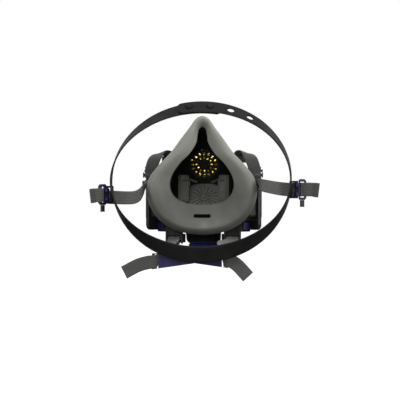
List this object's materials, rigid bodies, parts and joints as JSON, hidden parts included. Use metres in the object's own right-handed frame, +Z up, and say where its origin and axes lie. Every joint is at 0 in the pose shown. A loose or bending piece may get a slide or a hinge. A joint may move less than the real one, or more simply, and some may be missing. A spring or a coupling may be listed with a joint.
{
  "type": "half facepiece respirator",
  "caption": "Reusable half facepiece respirator without filters: grey silicone face seal on a black front body with two filter ports, valves, and a strap harness with a head cradle and neck clasp",
  "frame": {"origin": "the middle of the face seal's opening, at the face_seal_opening mount", "axes": "+Z is up, +Y points out of the seal towards the wearer's face, -Y is the outer front, +X is the wearer's left"},
  "size_m": [0.2075, 0.1722, 0.1671],
  "materials": {
    "seal_silicone": "matte silicone with a soft sheen",
    "valve_silicone": "thin satin silicone",
    "black_nylon": "fine grained moulding",
    "grey_nylon": "fine grained moulding",
    "charcoal_band": "flexible satin moulding",
    "violet_nylon": "satin moulding",
    "violet_rubber": "matte gasket rubber",
    "gold_film": "thin glossy film",
    "grey_webbing": "ribbed elastic webbing"
  },
  "bodies": {
    "mask": {"cover_tab": "violet_nylon", "diaphragm_cover": "black_nylon", "diaphragm_film": "gold_film", "diaphragm_grille": "black_nylon", "diaphragm_retainer": "black_nylon", "exhalation_seat": "grey_nylon", "face_seal": "seal_silicone", "front_body": "black_nylon", "front_strap_left": "grey_webbing", "front_strap_right": "grey_webbing", "inhalation_seat_left": "grey_nylon", "inhalation_seat_right": "grey_nylon", "lower_guide_left": "black_nylon", "lower_guide_right": "black_nylon", "port_gasket_left": "violet_rubber", "port_gasket_right": "violet_rubber", "port_plate_left": "black_nylon", "port_plate_right": "black_nylon", "side_guide_left": "black_nylon", "side_guide_right": "black_nylon", "strap_yoke": "black_nylon", "valve_cover": "black_nylon"},
    "harness": {"head_cradle": "charcoal_band", "rear_strap_left": "grey_webbing", "rear_strap_right": "grey_webbing"},
    "slider_left": {"strap_slider_left": "violet_nylon", "slider_pull_left": "black_nylon"},
    "slider_right": {"strap_slider_right": "violet_nylon", "slider_pull_right": "black_nylon"},
    "neck_strap": {"lower_strap_left": "grey_webbing", "lower_strap_right": "grey_webbing", "neck_clasp_hook": "violet_nylon", "neck_tail_left": "grey_webbing"},
    "neck_eye": {"neck_clasp_eye": "violet_nylon", "neck_tail_right": "grey_webbing"},
    "exhalation_flap": {"exhalation_flap": "valve_silicone"},
    "inhalation_flap_left": {"inhalation_flap_left": "valve_silicone"},
    "inhalation_flap_right": {"inhalation_flap_right": "valve_silicone"},
    "latch_left": {"port_latch_left": "violet_nylon"},
    "latch_right": {"port_latch_right": "violet_nylon"}
  },
  "joints": [
    {"name": "harness_swing", "type": "hinge", "parent": "mask", "child": "harness", "pos_m": [0, -0.013, -0.008], "axis": [1, 0, 0], "range_deg": [0, 60]},
    {"name": "slider_tilt_left", "type": "hinge", "parent": "harness", "child": "slider_left", "pos_m": [0.08332, 0.07775, -0.02], "axis": [0, 0, 1], "range_deg": [-8, 8], "deforming": ["rear_strap_left"]},
    {"name": "slider_tilt_right", "type": "hinge", "parent": "harness", "child": "slider_right", "pos_m": [-0.09015, 0.07476, -0.0155], "axis": [0, 0, 1], "range_deg": [-8, 8], "deforming": ["rear_strap_right"]},
    {"name": "neck_strap_swing", "type": "hinge", "parent": "mask", "child": "neck_strap", "pos_m": [0, -0.028, -0.066], "axis": [1, 0, 0], "range_deg": [-70, 0]},
    {"name": "clasp_unhook", "type": "slide", "parent": "neck_strap", "child": "neck_eye", "axis": [-1, 0, 0], "range_m": [0, 0.022], "deforming": ["lower_strap_right"]},
    {"name": "exhalation_flap_lift", "type": "slide", "parent": "mask", "child": "exhalation_flap", "axis": [0, -0.766, -0.6428], "range_m": [0, 0.0012], "stiffness_N_per_m": 30, "springref_m": -0.002},
    {"name": "inhalation_flap_lift_left", "type": "slide", "parent": "mask", "child": "inhalation_flap_left", "axis": [-0.8192, 0.5736, 0], "range_m": [0, 0.0012], "stiffness_N_per_m": 20, "springref_m": -0.002},
    {"name": "inhalation_flap_lift_right", "type": "slide", "parent": "mask", "child": "inhalation_flap_right", "axis": [0.8192, 0.5736, 0], "range_m": [0, 0.0012], "stiffness_N_per_m": 20, "springref_m": -0.002},
    {"name": "filter_release_left", "type": "slide", "parent": "mask", "child": "latch_left", "axis": [0, 0, 1], "range_m": [0, 0.0024], "stiffness_N_per_m": 300, "springref_m": -0.003},
    {"name": "filter_release_right", "type": "slide", "parent": "mask", "child": "latch_right", "axis": [0, 0, 1], "range_m": [0, 0.0024], "stiffness_N_per_m": 300, "springref_m": -0.003}
  ]
}
